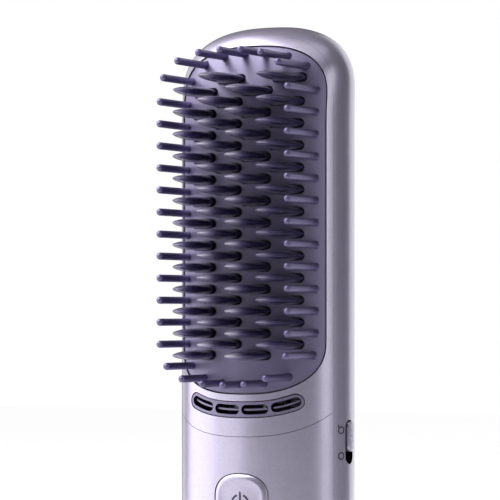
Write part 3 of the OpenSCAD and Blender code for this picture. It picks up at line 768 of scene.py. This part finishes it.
teeth = [((c - 1.5) * COLUMN, row_z(r) if c % 2 else TOP_ROW - PITCH * (r + 0.5), c)
         for c in range(4) for r in range(13)]
PIN_IN, PIN_IN_TOP, PIN_D = 2.05, 1.75, 1.5  # how far pins stand inside the panel's outline
PIN_W, PIN_END = PANEL_W - PIN_IN, PANEL_END - PIN_IN
pin_z0, pin_z1 = PANEL_Z0 + PIN_IN, PANEL_Z1 - PIN_IN_TOP


def pulled_in(z):
    u = max(z - (pin_z1 - PIN_END), pin_z0 + PIN_END - z, 0) / PIN_END
    return PIN_W * (1 - min(u, 0.99) ** END_POWER) ** (1 / END_POWER)


pins = [(-pulled_in(row_z(i)), row_z(i)) for i in range(14)]
low_row = [TOP_ROW - PITCH * (i + 0.5) for i in range(13)]
pins += [(pulled_in(z), z) for z in low_row]
pins += [(u * PIN_W, pin_z1 - float(smile(u * PIN_W, PIN_W, PIN_END, END_POWER)))
         for u in (-0.74, -0.414, -0.08, 0.245, 0.564, 0.84)]
pins += [(u * PIN_W, pin_z0 + float(smile(u * PIN_W, PIN_W, PIN_END, END_POWER)))
         for u in (-0.627, -0.307, 0.019, 0.351, 0.683)]
panel_loops = [spaced(panel_outline(0), 0.7, sunk)]
slot = stadium(TOOTH_T + TOOTH_GAP, TOOTH_W + TOOTH_GAP)[:, ::-1]
panel_loops += [spaced(slot + (x, z), 0.55) for x, z, _ in teeth]
panel_skin = skin(panel_loops, front_rows(122, 200, 1.25), sunk, clear=0.45)
FLANGE_SUNK, FLANGE_T = 0.95, 0.8
flange = skin([spaced(panel_outline(grow), 0.7, sunk) for grow in (0.7, -0.6)], [],
              from_front(FLANGE_SUNK))
panel_mesh = joined(shell(*panel_skin, PANEL_T, 0.03, 3), shell(*flange, FLANGE_T, 0.1, 2))
make_piece("comb_panel_skin", panel_mesh, comb_satin, "comb_panel")
print(len(teeth), "teeth,", len(pins), "pins")

# %% [markdown]
# ### Heated teeth
#
# A tooth is a flat leaf in section. It keeps its thickness for two fifths of its length and
# then rounds off like a bullet. Each is a stack of leaf sections from the hot plate, to which
# its root is fitted, to the tip. The two outer columns are 1.4 mm shorter. A bevelled box would
# be quicker, but its section couldn't narrow and thin at different rates.

# %% Heated teeth
def recede(z):
    """Tips follow a fifth of the way the panel falls back under the crown."""
    return 0.2 * (HALF_DEPTH - SOLID_SUNK + front(z, SOLID_SUNK))


def leaf(w, t, count=28):
    a = np.linspace(0, 2 * math.pi, count, endpoint=False)
    return np.array([w / 2 * np.sign(np.cos(a)) * np.abs(np.cos(a)) ** 0.85,
                     t / 2 * np.sin(a)]).T


def lofted(rings):
    """A closed body through a stack of rings, first ring and last ring capped."""
    count, stack = len(rings[0]), len(rings)
    points = np.vstack(rings)
    faces = [list(range(count))[::-1], list(range((stack - 1) * count, stack * count))]
    for i in range(stack - 1):
        for j in range(count):
            k = (j + 1) % count
            faces.append([i * count + j, i * count + k, (i + 1) * count + k, (i + 1) * count + j])
    grid = points.reshape(stack, count, 3)
    along = np.gradient(grid, axis=0)
    around = np.roll(grid, -1, 1) - np.roll(grid, 1, 1)
    normals = unit(np.cross(around, along)).reshape(-1, 3)
    return points, normals, faces


PLATE_FACE, TOOTH_TIP, OUTER_SHORT = 2.75, -26.1, 1.4


def tooth_mesh(x, z, c):
    root = float(comb_side(abs(x) + TOOTH_W / 2, z, PLATE_FACE))
    tip = TOOTH_TIP + (OUTER_SHORT if c in (0, 3) else 0) + float(recede(z))
    length, rings = root - tip, []
    for s in 1 - np.linspace(1, 0.02, 20) ** 1.7:
        nose = (1 - max(0.0, (s - 0.86) / 0.14) ** 2.4) ** (1 / 2)
        w = (TIP_W + (TOOTH_W - TIP_W) * (1 - s**1.7)) * (0.35 + 0.65 * nose)
        t = TOOTH_T * (1 - max(0.0, (s - 0.4) / 0.6) ** 2.6) ** (1 / 1.7)
        flat = leaf(w, t)
        y = np.full(len(flat), root - length * s)
        if s == 0:
            y = comb_side(x + flat[:, 0], z + flat[:, 1], PLATE_FACE - 0.03)
        rings.append(np.array([x + flat[:, 0], y, z + flat[:, 1]]).T)
    return lofted(rings)


# The teeth's colour holds painted light: a highlight towards the tips and shade towards the roots.
make_piece("heated_teeth_row", joined(*[tooth_mesh(*t) for t in teeth]), tooth_coat_painted_light, "heated_teeth")

# %% [markdown]
# ### Cool pins
#
# Round pins of 1.5 mm, drawn 0.16 mm thicker, with ball ends. A small fillet widens them where
# they leave the panel. Each is a profile spun round its own axis, as on a lathe.

# %% Cool pins
PIN_TIP, FILLET_H, FILLET_OUT = -22.95, 0.9, 0.13


def pin_mesh(x, z):
    r = PIN_D / 2 + 0.08
    skin_at = float(comb_side(x, z, SOLID_SUNK))
    tip = PIN_TIP + float(recede(z)) - (0.6 if abs(x) < 12 and z < PANEL_Z0 + 8 else 0)
    profile = []
    for u in np.linspace(-0.4, 1, 8):
        profile.append((skin_at - FILLET_H * u, r + FILLET_OUT * (1 - u) ** 2.4))
    for u in np.linspace(0.1, 1, 5):
        profile.append((skin_at - FILLET_H + (tip + r - skin_at + FILLET_H) * u, r))
    for a in np.linspace(0, 87, 9)[1:]:
        profile.append((tip + r - r * math.sin(math.radians(a)), r * math.cos(math.radians(a))))
    a = np.linspace(0, 2 * math.pi, 22, endpoint=False)
    return lofted([np.array([x + q * np.cos(a), np.full(22, y), z + q * np.sin(a)]).T
                   for y, q in profile])


make_piece("cool_pins_row", joined(*[pin_mesh(*p) for p in pins]), pin_satin, "cool_pins")

# %% [markdown]
# ## Air outlet
#
# An insert with four slots, 0.14 mm under the frame. In each slot a thin louvre lies 0.8 mm deep
# and catches a line of light.

# %% Air outlet
def vent_part(x0, x1, r, step=0.35):
    x = np.linspace(x0, x1, 40)
    return spaced(band(np.array([x, vent_z(x)]).T, r), step)


VENT_SUNK, LOUVRE_SUNK, VENT_END = 0.14, 0.8, 0.8
sunk_vent = from_front(VENT_SUNK)
slot_r, bar_w = 0.975, 0.8
step_x = (2 * VENT_REACH - 2 * VENT_END + bar_w) / 4
slots, louvres = [], []
for i in range(4):
    x0 = -VENT_REACH + VENT_END + i * step_x + slot_r
    x1 = x0 + step_x - bar_w - 2 * slot_r
    slots.append(vent_part(x0, x1, slot_r))
    deep = skin([vent_part(x0 - 0.7, x1 + 0.7, 0.3, 0.3)], [], from_front(LOUVRE_SUNK))
    louvres.append(shell(*deep, 0.8, 0.1, 3))
vent_edge = spaced(band(vent_line, VENT_R - 0.03), 0.4)
grille_skin = skin([vent_edge, *slots], front_rows(114, 125, 0.6, 2), sunk_vent, clear=0.3)
make_piece("air_grille_skin", joined(shell(*grille_skin, 1.4, 0.12), *louvres), grille_grey_painted_shade,
           "air_grille")

# %% [markdown]
# ## Button and slide switch
#
# The button's rim falls off outwards, a groove runs inside it, and its face is dished for the
# finger. It is built as shrinking copies of its outline, each at its own depth: DISH gives the
# depth in millimetres for a share of the way from the middle to the rim.

# %% Power button
DISH = np.array([(0.0, 0.06), (0.35, 0.03), (0.6, -0.06), (0.74, -0.2), (0.8, -0.3),
                 (0.84, -0.33), (0.88, -0.3), (0.94, -0.16), (0.985, 0.02), (1.0, 0.16)])


def dished(q):
    return np.interp(q, DISH[:, 0], DISH[:, 1])


def button_place(flat, q):
    k = dished(q)
    base, n = outer(flat)
    return base - n * np.asarray(k)[..., None]


ring = spaced(button_outline(0), 0.45, outer)[::-1]
centre = np.array([0.0, BUTTON_Z])
levels = np.r_[np.linspace(1, 0.72, 17), np.linspace(0.68, 0.04, 12)]
rings = [button_place(centre + (ring - centre) * q, q) for q in levels]
wall_ring = rings[0] + (0, 1.4, 0)
make_piece("power_button_cap", lofted([wall_ring, *rings]), lacquer, "power_button", body="button")


# %% [markdown]
# ### Power symbol
#
# The light window lies in the dish: a ring of 4.2 mm, open by 54 degrees at the top, and a bar.

# %% Power symbol
RING_R, STROKE_R = 2.1, 0.25


def in_dish(flat):
    flat = np.asarray(flat, float)
    away = flat - centre
    a = np.arctan2(away[:, 1], away[:, 0])
    ring_a = np.arctan2(ring[:, 1] - BUTTON_Z, ring[:, 0])
    order = np.argsort(ring_a)
    size = np.interp(a, ring_a[order], np.hypot(*(ring - centre)[order].T), period=2 * math.pi)
    q = np.hypot(away[:, 0], away[:, 1]) / size
    base, n = outer(flat)
    return base - n * (dished(q) - 0.03)[:, None], n


a = np.radians(np.linspace(90 + 27, 450 - 27, 60))
ring_line = np.array([RING_R * np.cos(a), BUTTON_Z + RING_R * np.sin(a)]).T
bar_line = np.array([np.zeros(8), np.linspace(BUTTON_Z + 0.75, BUTTON_Z + 2.55, 8)]).T
signs = [shell(*skin([spaced(band(line, STROKE_R), 0.16)], [], in_dish), 0.08, 0.03, 2)
         for line in (ring_line, bar_line)]
make_piece("power_symbol_inlay", joined(*signs), print_ink, "power_symbol", body="button")

# %% [markdown]
# ### Slide switch
#
# The knob stands 0.5 mm out of its slot. Its edge is rolled and three low ridges cross it for
# the nail. Its shank goes through the wall to the lever behind.

# %% Lock slider
SLIDER_Z, SLIDER_W, SLIDER_L, SLIDER_Y = 111.5, 2.5, 7.0, SLOT_Y + 0.2
KNOB_H, RIDGE_H, SHANK_X = 0.5, 0.08, 17.8


def from_side(k):
    """Places y, z laid on the right side, k under the surface."""
    def lay(flat):
        y, z = np.asarray(flat, float).T
        x = (HALF_WIDTH - k) * np.sqrt(np.maximum(0, 1 - (y / (HALF_DEPTH - k)) ** 2))
        points = np.array([x, y, z]).T
        n = unit(np.array([x / (HALF_WIDTH - k) ** 2, y / (HALF_DEPTH - k) ** 2, 0 * x]).T)
        return points, n
    return lay


def knob_height(q, z):
    """Rolled edge, flat top and three grip ridges across the middle."""
    edge = KNOB_H - KNOB_H * np.clip((q - 0.8) / 0.2, 0, 1) ** 2.2
    ridges = sum(np.exp(-((z - SLIDER_Z - d) / 0.22) ** 2) for d in (-1.2, 0, 1.2))
    return edge + RIDGE_H * ridges * (q < 0.75)


knob = spaced(stadium(SLIDER_W, SLIDER_L), 0.3)
rings = []
for q in np.r_[1, 1, np.linspace(1, 0.8, 12), np.linspace(0.74, 0.05, 9)]:
    spine = np.clip(knob[:, 1], -(SLIDER_L - SLIDER_W) / 2, (SLIDER_L - SLIDER_W) / 2)
    flat = np.array([knob[:, 0] * q, spine + (knob[:, 1] - spine) * q]).T + (SLIDER_Y, SLIDER_Z)
    points, n = from_side(0)(flat)
    rings.append(points + n * knob_height(np.full(len(flat), q), flat[:, 1])[:, None])
rings[0] = rings[0] * (0, 1, 1) + (SHANK_X, 0, 0)
make_piece("lock_slider_knob", lofted(rings), lacquer, "lock_slider", body="slider")

# %% [markdown]
# ### Printed marks
#
# Two small rings are printed beside the ends of the slot, the upper one with a tick. They are a
# film of ink on the rear shell, so they stand for no solid.

# %% Printed marks beside the slide switch
printed = from_side(-0.01)
MARK_Y, MARK_R, LINE_R = -3.5, 0.74, 0.17
UPPER_Z, LOWER_Z, TICK_L, TICK_LEAN = 113.0, 107.2, 0.9, 0.5


def circle(z, r):
    a = np.linspace(0, 2 * math.pi, 36, endpoint=False)
    return np.array([MARK_Y + r * np.cos(a), z + r * np.sin(a)]).T


c, s = math.cos(TICK_LEAN), math.sin(TICK_LEAN)
tick = stadium(2 * LINE_R, TICK_L, 7) @ np.array([[c, s], [-s, c]])
tick = tick + (MARK_Y - 0.72, UPPER_Z + 0.85)
outlines = [[circle(z, MARK_R + LINE_R), circle(z, MARK_R - LINE_R)] for z in (UPPER_Z, LOWER_Z)]
marks = [shell(*skin(loops, [], printed), 0.03, 0.008, 2) for loops in (*outlines, [tick])]
make_piece("switch_marks_print", joined(*marks), print_ink, None)

# %% [markdown]
# ## Picture
#
# A long lens looks level from 27 degrees to the right, so the side with the slide switch shows.
# The picture is shifted upwards, which keeps upright lines upright.

# %% Camera
AIM = math.radians(27)
DISTANCE, EYE_LEVEL = 0.650, 0.1396
camera_data = bpy.data.cameras.new("product_camera")
camera_data.lens, camera_data.sensor_width = 204.0, 36.0
camera_data.shift_y = 0.124
camera_data.clip_start, camera_data.clip_end = 0.01, 20
camera = bpy.data.objects.new("product_camera", camera_data)
bpy.context.scene.collection.objects.link(camera)
aside = Vector((-0.0036, -0.0018, 0))
camera.location = aside + Vector((DISTANCE * math.sin(AIM), -DISTANCE * math.cos(AIM), EYE_LEVEL))
camera.rotation_euler = (math.radians(90), 0, AIM)
bpy.context.scene.camera = camera
print("camera at", tuple(round(v, 4) for v in camera.location), "metres")

# %% [markdown]
# ### Lights
#
# Tall soft boxes stand round the bar. Each paints one upright band on the lacquer: a wide bright
# one at the left, a narrow one at the right, and between them the lacquer stays grey. One high
# soft box lights the crown's front rim. The world is white to the camera. Shiny rays see that
# white only in the sector straight behind the bar, which gives the pale edge at the right and
# leaves the dark band beside it. All other rays find a dim room.

# %% Lights and surroundings
def lamp(name, azimuth, raised, width, tall, strength, distance=0.9):
    """A soft box that faces the bar; azimuth 0 is straight in front, positive to the right."""
    data = bpy.data.lights.new(name, "AREA")
    data.shape, data.size, data.size_y, data.energy = "RECTANGLE", width, tall, strength
    thing = bpy.data.objects.new(name, data)
    bpy.context.scene.collection.objects.link(thing)
    a, e = math.radians(azimuth), math.radians(raised)
    centre = Vector((0, 0, 0.15))
    thing.location = centre + distance * Vector((math.sin(a) * math.cos(e),
                                                 -math.cos(a) * math.cos(e), math.sin(e)))
    thing.rotation_euler = (centre - thing.location).to_track_quat("-Z", "Y").to_euler()
    return thing


lamp("key_softbox_left", -74, 0, 0.75, 1.4, 6.2)
lamp("back_softbox_left", -122, 0, 0.22, 1.4, 0.8)
lamp("fill_softbox_front_left", -36, 0, 0.4, 1.4, 1.9)
lamp("high_softbox_left", -58, 52, 1.1, 0.7, 10)
lamp("strip_right", 73, 0, 0.34, 1.4, 1.9)
lamp("top_softbox", 20, 76, 0.8, 0.6, 0.9)
ROOM, PAPER_GLOW = 0.08, 0.89
SCREEN = (0.174, 0.985, 0)  # level, 170 degrees round from the front


def rear_sector(tree, direction):
    """1 within 20 degrees of the screen behind the bar, seen from above, and 0 from 27 on."""
    level = add(tree, "VectorMath", {0: direction, 1: (1, 1, 0)}, operation="MULTIPLY").outputs[0]
    level = add(tree, "VectorMath", {0: level}, operation="NORMALIZE").outputs[0]
    along = add(tree, "VectorMath", {0: level, 1: SCREEN}, operation="DOT_PRODUCT")
    return add(tree, "MapRange", {"Value": along.outputs["Value"], "From Min": 0.891,
                                  "From Max": 0.94}).outputs[0]


world = bpy.data.worlds.new("pale_studio")
world.use_nodes = True
bpy.context.scene.world = world
tree = world.node_tree
tree.nodes.clear()
rays = add(tree, "LightPath").outputs
shiny = add(tree, "Math", {0: rays["Is Glossy Ray"], 1: rays["Is Transmission Ray"]},
            operation="MAXIMUM").outputs[0]
toward = add(tree, "TexCoord").outputs["Generated"]
height = add(tree, "SeparateXYZ", {"Vector": toward}).outputs["Z"]
behind = rear_sector(tree, toward)
under = add(tree, "MapRange", {"Value": height, "From Min": 0.85, "From Max": 0.5}).outputs[0]
screen = add(tree, "Math", {0: behind, 1: under}, operation="MULTIPLY").outputs[0]
mirrored = add(tree, "Math", {0: shiny, 1: screen}, operation="MULTIPLY").outputs[0]
shows = add(tree, "Math", {0: rays["Is Camera Ray"], 1: mirrored}, operation="MAXIMUM").outputs[0]
seen = add(tree, "Background", {"Color": (1, 1, 1, 1), "Strength": 1.0}).outputs[0]
felt = add(tree, "Background", {"Color": (1, 1, 1, 1), "Strength": ROOM}).outputs[0]
mixed = add(tree, "MixShader", {0: shows, 1: felt, 2: seen}).outputs[0]
add(tree, "OutputWorld", {"Surface": mixed})
bpy.context.scene.view_settings.view_transform = "Standard"

# %% [markdown]
# ### Floor
#
# White paper. The camera sees it lifted to the white of the background, with the bar's shadow
# left in. Shiny rays see the lifted paper only behind the bar, as they do the world.

# %% Floor
plane = bpy.data.meshes.new("studio_floor")
plane.from_pydata([(-3, -3, 0), (3, -3, 0), (3, 3, 0), (-3, 3, 0)], [], [(0, 1, 2, 3)])
floor = bpy.data.objects.new("studio_floor", plane)
bpy.context.scene.collection.objects.link(floor)
paper = finish("paper_matt_white", "#F4F4F4", 0.85, grain=1.5)
nodes = paper.node_tree
lit = next(n for n in nodes.nodes if n.type == "BSDF_PRINCIPLED").outputs[0]
glow = add(nodes, "Emission", {"Color": (1, 1, 1, 1), "Strength": PAPER_GLOW}).outputs[0]
rays = add(nodes, "LightPath").outputs
shiny = add(nodes, "Math", {0: rays["Is Glossy Ray"], 1: rays["Is Transmission Ray"]},
            operation="MAXIMUM").outputs[0]
spot = add(nodes, "TexCoord").outputs["Object"]
behind = add(nodes, "MapRange", {"Value": add(nodes, "SeparateXYZ", {"Vector": spot}).outputs["Y"],
                                 "From Min": 0.02, "From Max": 0.2}).outputs[0]
behind = add(nodes, "Math", {0: behind, 1: rear_sector(nodes, spot)}, operation="MULTIPLY")
mirrored = add(nodes, "Math", {0: shiny, 1: behind.outputs[0]}, operation="MULTIPLY").outputs[0]
shows = add(nodes, "Math", {0: rays["Is Camera Ray"], 1: mirrored}, operation="MAXIMUM").outputs[0]
both = add(nodes, "AddShader", {0: lit, 1: glow}).outputs[0]
shown = add(nodes, "MixShader", {0: shows, 1: lit, 2: both}).outputs[0]
out = next(n for n in nodes.nodes if n.type == "OUTPUT_MATERIAL")
nodes.links.new(shown, out.inputs["Surface"])
plane.materials.append(paper)
print("floor shader:", len(nodes.nodes), "nodes")
